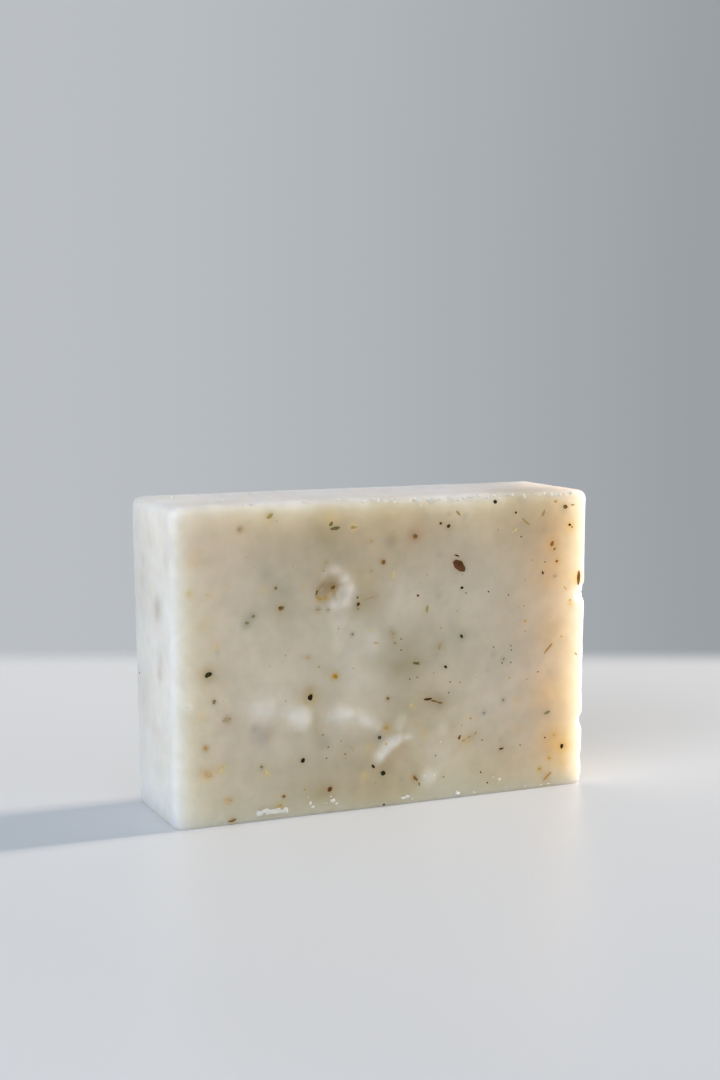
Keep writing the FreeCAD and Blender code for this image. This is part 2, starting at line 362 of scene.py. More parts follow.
def seen_on(piece, pixel):
    """Where the line of sight through a pixel meets a piece, or passes it, and the way out of it there."""
    start, way = line_of_sight(pixel)
    met, place, normal, face = piece.ray_cast(start, way)
    if not met:
        level_with_face = start + way * ((bar_low.y - start.y) / way.y)
        met, place, normal, face = piece.closest_point_on_mesh(level_with_face)
    return place, normal


def rough_ball(place, size_mm, seed):
    bpy.ops.object.select_all(action="DESELECT")
    bpy.ops.mesh.primitive_ico_sphere_add(subdivisions=3, radius=MM, location=place)
    ball = bpy.context.object
    bpy.ops.object.mode_set(mode="EDIT")
    bpy.ops.transform.vertex_random(offset=0.16 * MM, uniform=0.3, normal=0.5, seed=seed)
    bpy.ops.object.mode_set(mode="OBJECT")
    ball.scale = size_mm
    bpy.ops.object.transform_apply(location=True, scale=True)
    return ball


breaks = RIGHT_CORNER_BREAKS + TOP_EDGE_BREAKS + BASE_EDGE_BREAKS
for number, (pixel, size_mm) in enumerate(breaks):
    place, way_out = seen_on(soap, pixel)
    ball = rough_ball(place + way_out * 0.35 * min(size_mm) * MM, size_mm, seed=number)
    apply_modifier(soap, "BOOLEAN", operation="DIFFERENCE", solver="EXACT", object=ball)
    bpy.data.objects.remove(ball)
print("breaks cut:", len(breaks))

# %% [markdown]
# ## An even skin of small faces
# The block has a few long faces and the breaks have many small ones. A voxel remesh covers both with
# even squares, fine enough to hold the shallow relief of a hand-cut face. Two passes of smoothing then
# take off the steps that the voxels leave. The relief is gentle: a broad swell, where the soap shrank as
# it dried, a finer dimpling from the cut, and a fine grain, strongest along the top edge and the foot. It
# all fades out towards the base, which stays flat.

# %% Skin and relief
VOXEL = 0.43 * MM
SWELL_WIDE = 14 * MM
SWELL_DEEP = 0.22 * MM
DIMPLE_WIDE = 3.2 * MM
DIMPLE_DEEP = 0.07 * MM
GRAIN_WIDE = 1.1 * MM
GRAIN_DEEP = 0.10 * MM
FADE_IN = 2 * MM
ROUGH_TOP = 2.5 * MM
ROUGH_FOOT = 7 * MM
LEAST_WEIGHT = 0.02

apply_modifier(soap, "REMESH", mode="VOXEL", voxel_size=VOXEL)
apply_modifier(soap, "SMOOTH", factor=0.5, iterations=2)


def swell(piece, name, wide, deep, group=""):
    """Displaces a piece in and out, by deep from its lowest to its highest, in soft clouds this wide."""
    texture = bpy.data.textures.new(name, "CLOUDS")
    texture.noise_scale = wide
    apply_modifier(piece, "DISPLACE", texture=texture, texture_coords="LOCAL", mid_level=0.5,
                   strength=deep, vertex_group=group)


def weigh(piece, name, weights):
    """A vertex group with a weight from 0 to 1 for each vertex."""
    group = piece.vertex_groups.new(name=name)
    for index in np.nonzero(weights > LEAST_WEIGHT)[0]:
        group.add([int(index)], float(weights[index]), "REPLACE")


spots = points_of(soap)
inner = ramp(spots[:, 2], bar_low.z, FADE_IN)
weigh(soap, "Above_Base", inner)
near_top = ramp(spots[:, 2], bar_high.z - ROUGH_TOP, FADE_IN)
near_foot = 1 - ramp(spots[:, 2], bar_low.z, ROUGH_FOOT)
weigh(soap, "Rough", np.clip(0.15 + near_top + 0.8 * near_foot, 0, 1) * inner)

swell(soap, "Swell", SWELL_WIDE, SWELL_DEEP, "Above_Base")
swell(soap, "Dimples", DIMPLE_WIDE, DIMPLE_DEEP, "Above_Base")
swell(soap, "Grain", GRAIN_WIDE, GRAIN_DEEP, "Rough")
print("skin faces:", len(soap.data.polygons))

# %% [markdown]
# ## Dents and ridges
# The near face was knocked and smeared while it was soft: it has shallow dents, glossy raised ridges and
# one round crater. They are made as a sculptor would, with the Move tool and proportional editing: the
# vertices under a line of pixels are moved in or out, and their neighbours follow less with distance.

# %% Dents and ridges
# The line as pixels of the photo, how far it is moved out in mm, and the fall-off's width in mm and kind.
STROKES = [
    ([(250, 728), (264, 735)], -0.35, 4.5, "SMOOTH"),
    ([(205, 740)], -0.20, 6.0, "SMOOTH"),
    ([(300, 722), (312, 728)], -0.45, 6.0, "SMOOTH"),
    ([(299, 716), (302, 722)], 0.95, 2.7, "SMOOTH"),
    ([(304, 709), (310, 715), (308, 722)], 0.35, 1.8, "SMOOTH"),
    ([(296, 722)], 0.25, 1.0, "SMOOTH"),
    ([(307, 731)], 0.30, 1.1, "SMOOTH"),
    ([(288, 713), (292, 715)], 0.40, 2.0, "SMOOTH"),
    ([(257, 712), (266, 710)], 0.55, 2.4, "SMOOTH"),
    ([(278, 717)], 0.35, 2.0, "SMOOTH"),
    ([(322, 724), (326, 742)], -0.30, 3.2, "SMOOTH"),
    ([(331, 719), (344, 714), (356, 716)], 0.60, 1.9, "SMOOTH"),
    ([(362, 719), (378, 727)], 0.50, 1.6, "SMOOTH"),
    ([(346, 713), (351, 715)], 0.25, 1.0, "SMOOTH"),
    ([(392, 760), (404, 750)], -0.35, 3.0, "SMOOTH"),
    ([(378, 758), (386, 749), (397, 741)], 0.50, 1.8, "SMOOTH"),
    ([(397, 738), (419, 736)], 0.35, 1.2, "SHARP"),
    ([(412, 752), (425, 762)], -0.30, 4.0, "SMOOTH"),
    ([(400, 727), (402, 720)], 0.45, 1.2, "SMOOTH"),
    ([(441, 732), (444, 722)], 0.45, 1.3, "SMOOTH"),
    ([(424, 777), (433, 775)], 0.50, 1.6, "SMOOTH"),
    ([(447, 785)], -0.25, 4.0, "SMOOTH"),
    ([(328, 593)], -0.75, 2.5, "SPHERE"),
    ([(338, 572)], 0.30, 1.0, "SMOOTH"),
    ([(345, 578)], 0.35, 1.0, "SMOOTH"),
    ([(350, 587)], 0.30, 1.1, "SMOOTH"),
    ([(348, 597)], 0.35, 1.0, "SMOOTH"),
    ([(341, 605)], 0.30, 1.0, "SMOOTH"),
    ([(332, 606)], 0.30, 0.9, "SMOOTH"),
    ([(342, 590)], 0.25, 0.9, "SMOOTH"),
    ([(329, 572)], 0.25, 0.9, "SMOOTH"),
    ([(336, 592), (340, 586)], -0.30, 0.9, "SMOOTH"),
    ([(318, 583), (324, 578)], 0.25, 1.0, "SMOOTH"),
    ([(322, 590)], 0.35, 0.8, "SMOOTH"),
    ([(331, 599)], 0.40, 0.9, "SMOOTH"),
    ([(316, 596)], -0.30, 0.9, "SHARP"),
    ([(335, 585)], -0.35, 1.0, "SHARP"),
    ([(184, 706), (190, 707)], 0.25, 0.9, "SMOOTH"),
    ([(505, 545), (509, 546)], 0.20, 0.9, "SMOOTH"),
    ([(372, 640), (388, 622), (404, 634)], 0.16, 4.0, "SMOOTH"),
    ([(360, 625)], 0.25, 1.4, "SMOOTH"),
    ([(343, 655)], -0.15, 3.0, "SMOOTH"),
    ([(374, 655)], 0.20, 1.5, "SMOOTH"),
    ([(452, 712), (462, 735)], 0.12, 3.0, "SMOOTH"),
    ([(412, 655), (424, 648)], 0.10, 2.5, "SMOOTH"),
]
STEP = 0.45 * MM


def points_along(places):
    """Points at even steps along a line through these places."""
    points = [places[0]]
    for start, end in zip(places, places[1:]):
        count = max(1, round((end - start).length / STEP))
        points += [start.lerp(end, i / count) for i in range(1, count + 1)]
    return points


def stroke(piece, tree, pixels, out_mm, wide_mm, falloff):
    """Moves the skin under a line of pixels out of the face, or into it, with its neighbours."""
    line = points_along([seen_on(piece, pixel)[0] for pixel in pixels])
    wanted = {tree.find(point)[1] for point in line}
    select_only(piece)
    piece.data.vertices.foreach_set("select", [i in wanted for i in range(len(piece.data.vertices))])
    bpy.ops.object.mode_set(mode="EDIT")
    bpy.ops.transform.translate(
        value=(0, -out_mm * MM, 0),
        use_proportional_edit=True,
        proportional_edit_falloff=falloff,
        proportional_size=wide_mm * MM,
    )
    bpy.ops.mesh.select_all(action="DESELECT")
    bpy.ops.object.mode_set(mode="OBJECT")


def find_tree(piece):
    """A finder of the vertex that lies nearest to a place."""
    tree = KDTree(len(piece.data.vertices))
    for vertex in piece.data.vertices:
        tree.insert(vertex.co, vertex.index)
    tree.balance()
    return tree


select_only(soap)
bpy.ops.object.mode_set(mode="EDIT")
bpy.ops.mesh.select_mode(type="VERT")
bpy.ops.mesh.select_all(action="DESELECT")
bpy.ops.object.mode_set(mode="OBJECT")
skin_tree = find_tree(soap)
for line in STROKES:
    stroke(soap, skin_tree, *line)
soap.data.shade_smooth()
print("strokes:", len(STROKES))

# %% [markdown]
# ## Where herbs show through, and painted light
# Many herbs lie just under the skin of the soap, and show as soft stains. Others are cut at the surface
# and have bled a faint halo into the soap round them. Both are painted on the mesh as a colour attribute
# that the material multiplies into the soap's own colour: 1 leaves it as it is. Each stain fades from
# its middle in a bell curve. The same attribute carries painted light by side: the ends are painted white,
# the top a cool white for skylight, and the two cut faces a yellower cream that paints their shade and
# warmer light. The attribute's fourth number says how much of a cut face a spot is, because fine herb dust
# shows only there.

# %% Stain and painted light colours, and lists
STAIN_AND_LIGHT_COLOURS = {
    "olive": "#C5BB98",
    "green": "#C1C1A8",
    "brown": "#BCA57C",
    "red": "#C29C74",
    "amber": "#DFC682",
    "yellow": "#E9D8AC",
    "grey": "#BDBBB0",
    "violet": "#C6BDB6",
    # pale also serves as a painted highlight, in the small spots on the ridges, bumps and crater rim.
    "pale": "#FBF8F0",
    "beige": "#CBC1A6",
}
# Pixel of the photo, radius in mm, colour, strength from 0 to 1.
STAINS_AND_HIGHLIGHTS = [
    ((325, 536), 1.6, "olive", 0.75), ((318, 541), 0.7, "grey", 0.4), ((331, 519), 1.1, "yellow", 0.6),
    ((270, 516), 0.7, "olive", 0.7), ((267, 521), 0.6, "yellow", 0.5), ((240.2, 529.2), 0.45, "brown", 0.9),
    ((391, 541), 0.9, "brown", 0.6), ((388, 545), 0.8, "grey", 0.4), ((420, 520), 1.1, "red", 0.25),
    ((415, 536.3), 1.1, "red", 0.6), ((425, 516), 0.6, "grey", 0.5), ((383.4, 562), 0.6, "red", 0.6),
    ((354, 527.2), 0.6, "yellow", 0.9), ((371, 541), 0.35, "olive", 0.8), ((371, 571.5), 0.3, "olive", 0.8),
    ((393.5, 575), 0.45, "yellow", 0.7), ((394, 531), 0.3, "olive", 0.5),
    ((448.6, 526), 0.9, "olive", 0.35), ((449, 514), 0.4, "brown", 0.4), ((465, 516), 0.45, "grey", 0.5),
    ((500, 538), 0.7, "grey", 0.15), ((440, 555), 0.35, "grey", 0.6), ((438, 596.5), 0.5, "olive", 0.6),
    ((389.8, 596), 0.8, "olive", 0.4), ((437.8, 592), 0.7, "grey", 0.3), ((524, 501.5), 0.8, "violet", 0.9),
    ((519, 500), 0.5, "brown", 0.4), ((544, 530), 0.5, "green", 0.55), ((545, 502), 0.8, "olive", 0.5),
    ((565, 508), 0.6, "grey", 0.7), ((554.8, 576.1), 0.4, "grey", 0.6), ((552, 546), 0.8, "amber", 0.45),
    ((570, 526), 0.7, "amber", 0.7), ((557, 561.5), 0.5, "amber", 0.7), ((578, 578), 1.0, "amber", 0.6),
    ((570, 603), 0.5, "amber", 0.6), ((193.5, 561.8), 1.0, "amber", 0.25), ((200, 551), 0.6, "amber", 0.2),
    ((188.9, 594), 0.5, "amber", 0.55), ((208.8, 595.5), 0.5, "amber", 0.35),
    ((203.4, 624.6), 0.8, "amber", 0.25), ((267, 573), 0.7, "grey", 0.4), ((283, 590), 1.3, "green", 0.45),
    ((264, 590), 0.5, "yellow", 0.6), ((281, 609), 1.2, "olive", 0.6), ((252.9, 616.5), 0.55, "green", 0.8),
    ((247, 624), 0.75, "green", 0.9), ((208.3, 674.9), 1.2, "olive", 0.75),
    ((217, 646), 0.5, "yellow", 0.4), ((217.4, 652), 0.4, "grey", 0.25),
    ((310.3, 697.4), 1.3, "amber", 0.55), ((310, 690), 0.6, "brown", 0.4),
    ((214.1, 702), 0.4, "green", 0.8), ((227.1, 719.6), 0.6, "brown", 0.5),
    ((225, 719.5), 0.3, "brown", 0.4), ((264, 737), 1.3, "violet", 0.6), ((254, 730), 0.6, "violet", 0.5),
    ((271, 736), 0.6, "amber", 0.25), ((205.7, 748.4), 0.45, "brown", 0.8),
    ((202, 717), 0.7, "yellow", 0.5), ((208, 774.7), 0.75, "amber", 0.75), ((201, 772), 0.5, "amber", 0.3),
    ((221.8, 769.3), 0.6, "yellow", 0.9), ((262, 767), 0.4, "green", 0.7),
    ((266.2, 773.2), 0.55, "yellow", 0.9), ((228.7, 800.7), 0.5, "amber", 0.7),
    ((232, 821), 0.6, "brown", 0.8), ((302.9, 760.5), 0.8, "olive", 0.35),
    ((320, 790.5), 1.2, "olive", 0.9), ((329.7, 789.2), 1.0, "brown", 0.5),
    ((283.5, 796.5), 0.35, "brown", 0.7), ((279.5, 806), 0.6, "amber", 0.6),
    ((308.3, 657.5), 0.5, "brown", 0.5), ((302, 657), 0.35, "grey", 0.4),
    ((335.1, 676.4), 0.6, "amber", 0.9), ((352.4, 634.2), 0.35, "brown", 0.7),
    ((393.9, 634), 0.7, "olive", 0.55), ((391, 629), 0.5, "green", 0.4),
    ((440.3, 645.8), 0.7, "olive", 0.55), ((436, 655), 0.35, "grey", 0.5), ((402, 667), 1.6, "brown", 0.22),
    ((416.3, 663.2), 0.9, "olive", 0.6), ((461.6, 636.3), 0.8, "green", 0.6),
    ((445.6, 666.8), 0.6, "olive", 0.4), ((431, 700), 1.6, "brown", 0.35), ((441, 702), 1.0, "brown", 0.4),
    ((387.8, 698.4), 0.35, "brown", 0.8), ((411.3, 705.5), 0.45, "yellow", 0.8),
    ((417, 725), 0.4, "amber", 0.5), ((422.9, 732.9), 0.6, "yellow", 0.8),
    ((386.4, 727.9), 0.6, "amber", 0.8), ((379.5, 737.5), 0.6, "grey", 0.6),
    ((369, 747.5), 0.8, "yellow", 0.6), ((377, 752), 0.8, "yellow", 0.5),
    ((383.5, 770), 1.4, "olive", 0.45), ((364, 776), 0.7, "yellow", 0.7),
    ((401.7, 779.3), 0.45, "grey", 0.6), ((415.5, 778.5), 0.7, "brown", 0.5), ((413, 776), 0.5, "red", 0.4),
    ((466, 740.3), 0.8, "amber", 0.6), ((471, 737), 0.6, "brown", 0.25),
    ((501.4, 748.6), 0.6, "brown", 0.35), ((500.5, 739.5), 0.4, "olive", 0.6),
    ((519, 728), 0.6, "yellow", 0.7), ((515, 700.5), 0.5, "yellow", 0.8), ((484, 713), 0.4, "grey", 0.8),
    ((503.3, 700), 0.35, "olive", 0.8), ((547, 712.5), 0.7, "green", 0.5),
    ((553.9, 734.5), 0.5, "amber", 0.7), ((561.7, 746.1), 1.0, "amber", 0.8),
    ((549, 758.2), 0.45, "amber", 0.9), ((539.3, 769), 0.5, "amber", 0.9), ((535, 758), 0.6, "amber", 0.3),
    ((547, 776.5), 0.7, "red", 0.35), ((561, 763), 0.8, "amber", 0.4), ((549, 672), 0.5, "green", 0.5),
    ((488, 670), 0.4, "olive", 0.4), ((503, 659), 0.4, "olive", 0.6), ((493.4, 655), 0.4, "violet", 0.5),
    ((454, 630), 0.8, "grey", 0.2), ((318.5, 598.5), 0.45, "amber", 0.95),
    ((316.5, 593), 0.45, "olive", 0.8), ((325.5, 598), 0.4, "amber", 0.9), ((333, 587), 0.7, "amber", 0.9),
    ((334.5, 584), 0.5, "brown", 0.8), ((325, 590), 0.6, "olive", 0.6), ((318, 609.6), 0.5, "olive", 0.8),
    ((328.3, 609.7), 0.35, "brown", 0.8), ((323.6, 571), 0.35, "brown", 0.6),
    ((325.9, 562.6), 0.3, "brown", 0.5), ((321, 577), 0.6, "yellow", 0.4), ((303, 587), 0.5, "amber", 0.25),
    ((308, 598), 0.4, "yellow", 0.3), ((347, 560), 1.5, "violet", 0.15), ((366, 600), 2.0, "brown", 0.18),
    # Painted highlights: the pale spots from here to (187, 707) lie on the crater rim, the ridge and a bump.
    ((358, 606), 0.9, "olive", 0.5), ((376, 596), 0.5, "brown", 0.3), ((345, 579), 0.9, "pale", 0.8),
    ((350, 590), 0.9, "pale", 0.9), ((346, 602), 0.9, "pale", 0.8), ((335, 606), 0.8, "pale", 0.7),
    ((334, 571), 0.8, "pale", 0.6), ((325, 573), 0.6, "pale", 0.5), ((381, 756), 0.8, "pale", 0.9),
    ((386, 750), 0.8, "pale", 0.9), ((392, 744), 0.8, "pale", 0.9), ((399, 740), 0.7, "pale", 0.8),
    ((408, 737), 0.6, "pale", 0.6), ((187, 707), 0.7, "pale", 0.8), ((321, 584), 1.1, "brown", 0.5),
    ((331, 581), 1.1, "brown", 0.6), ((339, 590), 1.1, "brown", 0.35),
]
# Stains in the near end and the top, seen through more soap. The wide grey ones along the back of the near
# end are painted shade, darker away from the window, and the two wide beige ones on the top by the far end
# are painted shade over the sun's glow there.
SIDE_STAINS_AND_SHADE = [
    ((137, 520), 4.0, "grey", 0.3), ((138, 600), 5.0, "grey", 0.3), ((140, 680), 5.0, "grey", 0.3),
    ((143, 750), 3.5, "grey", 0.2), ((158, 607), 1.6, "grey", 0.45), ((157, 613), 1.1, "olive", 0.3),
    ((160, 674), 1.1, "grey", 0.35), ((161, 660), 0.8, "grey", 0.2), ((142, 580), 0.9, "olive", 0.25),
    ((143, 560), 0.7, "grey", 0.25), ((150, 540), 1.2, "grey", 0.15), ((148, 640), 0.9, "grey", 0.15),
    ((155, 730), 1.0, "grey", 0.15), ((145, 700), 0.8, "olive", 0.12), ((165, 560), 0.8, "grey", 0.12),
    ((535, 480), 6.0, "beige", 0.6), ((480, 484), 6.0, "beige", 0.25),
]
# Wide clouds where more or less of the milky soap lies over the herbs. Among them the small pale ones on
# the ridges, bumps and crater rim are painted highlights, the yellow and amber ones down the far edge are a
# painted warm glow of sunlight through the soap, and most beige ones along the top and the foot of the face
# make it darker there.
CLOUDS = [
    ((410, 645), 5.0, "beige", 0.6), ((330, 560), 5.0, "beige", 0.6), ((290, 560), 6.0, "beige", 0.45),
    ((370, 600), 3.5, "beige", 0.5), ((398, 668), 3.0, "beige", 0.6), ((420, 525), 4.0, "beige", 0.6),
    ((335, 530), 4.0, "beige", 0.8), ((325, 770), 4.0, "beige", 0.5), ((360, 790), 4.0, "beige", 0.5),
    ((240, 745), 3.0, "beige", 0.2), ((500, 620), 6.0, "beige", 0.2), ((400, 560), 3.0, "beige", 0.4),
    ((345, 645), 3.0, "pale", 0.35), ((362, 680), 3.0, "pale", 0.3), ((340, 622), 2.0, "pale", 0.35),
    ((490, 690), 6.0, "pale", 0.15), ((262, 700), 5.0, "pale", 0.35), ((400, 600), 3.0, "pale", 0.35),
    ((470, 600), 4.0, "pale", 0.2), ((240, 640), 4.0, "pale", 0.25), ((440, 755), 3.0, "pale", 0.4),
    # Painted highlights: small pale patches on the ridges, bumps and crater rim, where the low sun catches
    # them.
    ((303, 720), 1.6, "pale", 0.9), ((292, 713), 1.4, "pale", 0.6), ((262, 712), 1.6, "pale", 0.8),
    ((345, 716), 1.6, "pale", 0.9), ((368, 722), 1.5, "pale", 0.8), ((388, 747), 1.0, "pale", 0.9),
    ((429, 778), 1.2, "pale", 0.9), ((346, 590), 1.0, "pale", 0.9), ((372, 640), 1.5, "pale", 0.6),
    # Painted glow: yellow and amber down the far edge, for the sun's warm light through the soap.
    ((548, 520), 2.4, "yellow", 0.4), ((550, 575), 2.2, "amber", 0.3), ((549, 630), 2.2, "amber", 0.3),
    ((548, 690), 2.4, "yellow", 0.5), ((553, 742), 2.4, "amber", 0.65), ((545, 780), 2.4, "yellow", 0.4),
    # Most beige clouds on these three lines, and at (325, 770) and (360, 790), darken the face along its top
    # and foot.
    ((200, 535), 5.0, "violet", 0.4), ((240, 525), 3.5, "beige", 0.3), ((388, 517), 3.5, "beige", 0.5),
    ((520, 525), 5.0, "beige", 0.5), ((552, 543), 1.3, "amber", 0.4), ((300, 787), 3.5, "beige", 0.5),
    ((395, 782), 4.0, "beige", 0.6), ((352, 775), 4.0, "beige", 0.4), ((400, 712), 4.0, "beige", 0.4),
    ((225, 560), 8.0, "pale", 0.12), ((225, 740), 8.0, "pale", 0.12), ((400, 775), 6.0, "amber", 0.15),
    ((500, 780), 6.0, "amber", 0.15), ((450, 740), 5.0, "amber", 0.12), ((390, 530), 5.0, "amber", 0.12),
    # Amber at (545, 570) here, and at (547, 530) and (547, 700) below, adds to the painted glow by the far
    # edge.
    ((520, 520), 6.0, "amber", 0.12), ((445, 550), 3.5, "beige", 0.35), ((545, 570), 4.0, "amber", 0.22),
    ((360, 582), 3.5, "amber", 0.25), ((430, 690), 5.0, "amber", 0.1), ((380, 785), 5.0, "red", 0.12),
    ((510, 775), 6.0, "red", 0.1), ((547, 530), 3.0, "amber", 0.15), ((547, 700), 4.0, "amber", 0.15),
    ((240, 515), 4.0, "beige", 0.15),
]
REACH = 3.0

# %% Paint the stains and the painted light
# Painted light by side: white ends and a cool white top for skylight, a shaded, warmer cream for the cut
# faces.
END_PAINTED_LIGHT = "#FFFFFF"
TOP_PAINTED_SKYLIGHT = "#F0F1F8"
CUT_FACE_CREAM_AND_SHADE = "#E2DAC5"
END_RIM_PAINTED_LIGHT = 3.0 * MM
TOP_EDGE_FROST_AND_LIGHT = 1.35 * MM


def bell(distance, radius):
    return np.exp(-0.5 * (distance / radius) ** 2)


def mix_soft_spot(stains_and_light, spots, place, radius, colour, strength):
    """Mixes one soft spot into the colour attribute: a stain, painted light or painted shade."""
    distance = np.linalg.norm(spots - np.array(place), axis=1)
    near = distance < REACH * radius
    share = strength * bell(distance[near], radius)[:, None]
    stains_and_light[near] += share * (np.array(linear(STAIN_AND_LIGHT_COLOURS[colour])[:3]) - stains_and_light[near])


spots = points_of(soap)
normals = np.empty_like(spots)
soap.data.vertices.foreach_get("normal", normals.reshape(-1))
cut = ramp(np.abs(normals[:, 1]), 0.35, 0.5)
from_end = spots[:, 0] - bar_low.x
from_far_end = bar_high.x - spots[:, 0]
from_top = bar_high.z - spots[:, 2]
# Painted highlights on the rims at both ends; along the top edge the lighter band is partly pale frost,
# partly painted light.
rim_light_and_frost = [
    (from_end, 0.8, END_RIM_PAINTED_LIGHT),
    (from_far_end, 0.9, END_RIM_PAINTED_LIGHT),
    (from_top, 0.8, TOP_EDGE_FROST_AND_LIGHT),
]
for distance, strength, width in rim_light_and_frost:
    cut *= 1 - strength * np.exp(-distance / width)
# The top gets the painted cool skylight, the ends the painted white, the cut faces the shaded cream.
up = ramp(normals[:, 2], 0.4, 0.4)[:, None]
cut = cut[:, None]
skin = (1 - up) * np.array(linear(END_PAINTED_LIGHT)[:3]) + up * np.array(linear(TOP_PAINTED_SKYLIGHT)[:3])
stains_and_light = (1 - cut) * skin + cut * np.array(linear(CUT_FACE_CREAM_AND_SHADE)[:3])
for pixel, radius_mm, colour, strength in CLOUDS + STAINS_AND_HIGHLIGHTS + SIDE_STAINS_AND_SHADE:
    place, way_out = seen_on(soap, pixel)
    mix_soft_spot(stains_and_light, spots, place, radius_mm * MM, colour, strength)
colours = soap.data.color_attributes.new(name="Tint", type="FLOAT_COLOR", domain="POINT")
colours.data.foreach_set("color", np.hstack([stains_and_light, cut]).astype(np.float32).reshape(-1))
print("stains:", len(CLOUDS) + len(STAINS_AND_HIGHLIGHTS) + len(SIDE_STAINS_AND_SHADE))

# %% [markdown]
# ## Soap as a material
# Cured soap is a milky solid: light goes some millimetres in before it comes out again, red light the
# farthest, so an end in the sun glows amber. The Principled shader does this by subsurface scattering,
# with the distances given in metres. The colour is one pale cream, multiplied by the painted stains and
# painted light and by two sizes of soft mottling. Fine herb dust is a pattern of small cells: most cells
# are left alone, and in a few of them the middle is coloured. Everything is scaled in the real bar's
# millimetres.

# %% Soap material
SOAP_CREAM = (0.80, 0.767, 0.715, 1)
MOTTLE_LOW = (0.90, 0.90, 0.88, 1)
DUST_COLOURS = (linear("#9C8C66"), linear("#B39055"))
BROAD_MOTTLE_MM = 11
FINE_MOTTLE_MM = 2.6
DUST_CELL_MM = 1.5
DUST_LEFT_OUT = 0.93
DUST_RADIUS = 0.11
SKIN_GRAIN_MM = 0.7
SKIN_RELIEF = 0.03 * MM
ROUGHNESS_SPAN = (0.30, 0.44)
SOAP_IOR = 1.46
GLOW_DEPTH = 31 * MM
GLOW_COLOURS = (1.0, 0.75, 0.53)

cured_soap, tree, shader, place = new_material("Cured_Soap")
tint_node = add_node(tree, "Attribute", attribute_name="Tint")
paint = tint_node.outputs["Color"]
broad = add_node(tree, "TexNoise", inputs={"Vector": place, "Scale": per_mm(BROAD_MOTTLE_MM), "Detail": 3.0})
fine = add_node(tree, "TexNoise", inputs={"Vector": place, "Scale": per_mm(FINE_MOTTLE_MM), "Detail": 4.0})
cloudy = add_node(tree, "Math", operation="ADD", inputs={0: broad.outputs["Fac"], 1: fine.outputs["Fac"]})
spread = add_node(tree, "MapRange", inputs={0: cloudy.outputs[0], 1: 0.8, 2: 1.2})
mottle = add_node(tree, "Mix", data_type="RGBA",
                  inputs={0: spread.outputs[0], 6: MOTTLE_LOW, 7: (1, 1, 1, 1)})
cream = add_node(tree, "Mix", data_type="RGBA", blend_type="MULTIPLY",
                 inputs={0: 1.0, 6: SOAP_CREAM, 7: paint})
milky = add_node(tree, "Mix", data_type="RGBA", blend_type="MULTIPLY",
                 inputs={0: 1.0, 6: cream.outputs[2], 7: mottle.outputs[2]})
cells = add_node(tree, "TexVoronoi", inputs={"Vector": place, "Scale": per_mm(DUST_CELL_MM)})
apart = add_node(tree, "SeparateColor", inputs={0: cells.outputs["Color"]})
chosen = add_node(tree, "Math", operation="GREATER_THAN", inputs={0: apart.outputs[0], 1: DUST_LEFT_OUT})
near = add_node(tree, "Math", operation="LESS_THAN", inputs={0: cells.outputs["Distance"], 1: DUST_RADIUS})
dust = add_node(tree, "Math", operation="MULTIPLY", inputs={0: chosen.outputs[0], 1: near.outputs[0]})
bare = add_node(tree, "Math", operation="MULTIPLY",
                inputs={0: apart.outputs[1], 1: tint_node.outputs["Alpha"]})
faint = add_node(tree, "Math", operation="MULTIPLY", inputs={0: dust.outputs[0], 1: bare.outputs[0]})
grain = add_node(tree, "Mix", data_type="RGBA",
                 inputs={0: apart.outputs[2], 6: DUST_COLOURS[0], 7: DUST_COLOURS[1]})
dusted = add_node(tree, "Mix", data_type="RGBA",
                  inputs={0: faint.outputs[0], 6: milky.outputs[2], 7: grain.outputs[2]})
tree.links.new(dusted.outputs[2], shader.inputs["Base Color"])
rough = add_node(tree, "MapRange",
                 inputs={0: fine.outputs["Fac"], 1: 0.35, 2: 0.65,
                         3: ROUGHNESS_SPAN[0], 4: ROUGHNESS_SPAN[1]})
tree.links.new(rough.outputs[0], shader.inputs["Roughness"])
skin_noise = add_node(tree, "TexNoise",
                      inputs={"Vector": place, "Scale": per_mm(SKIN_GRAIN_MM), "Detail": 3.0})
relief = add_node(tree, "Bump",
                  inputs={"Height": skin_noise.outputs["Fac"], "Distance": SKIN_RELIEF, "Strength": 0.5})
tree.links.new(relief.outputs[0], shader.inputs["Normal"])
shader.inputs["Subsurface Weight"].default_value = 1.0
shader.inputs["Subsurface Radius"].default_value = GLOW_COLOURS
shader.inputs["Subsurface Scale"].default_value = GLOW_DEPTH
shader.inputs["IOR"].default_value = SOAP_IOR

soap.data.materials.clear()
soap.data.materials.append(cured_soap)
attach(soap, "root")
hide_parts("soap_bar")
print("soap nodes:", len(tree.nodes))

# %% [markdown]
# ## Herbs
# Chopped bark, seeds, leaf and stem were stirred into the soap, and the wire cut them flush with the
# face. Each kind starts from one short, many-sided cylinder whose vertices are moved a little at random,
# and is repeated with its own length, width and turn. Each fleck is seated where the line of sight
# through its pixel meets the soap, square to the skin there, and stands out by a few hundredths of a
# millimetre. Its colour is kept on its own vertices, so that all the flecks of a kind can be one piece.

# %% Herb colours
HERB = {
    "black": "#281B0C",
    "greenblack": "#2F2B16",
    "darkbrown": "#502C12",
    "chestnut": "#5E3A22",
    "redbrown": "#6B3F1C",
    "brown": "#80602F",
    "olive": "#6F6840",
    "oliveyellow": "#A5935A",
    "amber": "#C29B55",
    "gold": "#AC7C28",
    "straw": "#D2C08C",
    "orange": "#93622A",
    "greygreen": "#877E58",
    "dull": "#AE9A78",
    "slate": "#4A4434",
    "honey": "#B98C4E",
    "tan": "#C6AA7C",
}

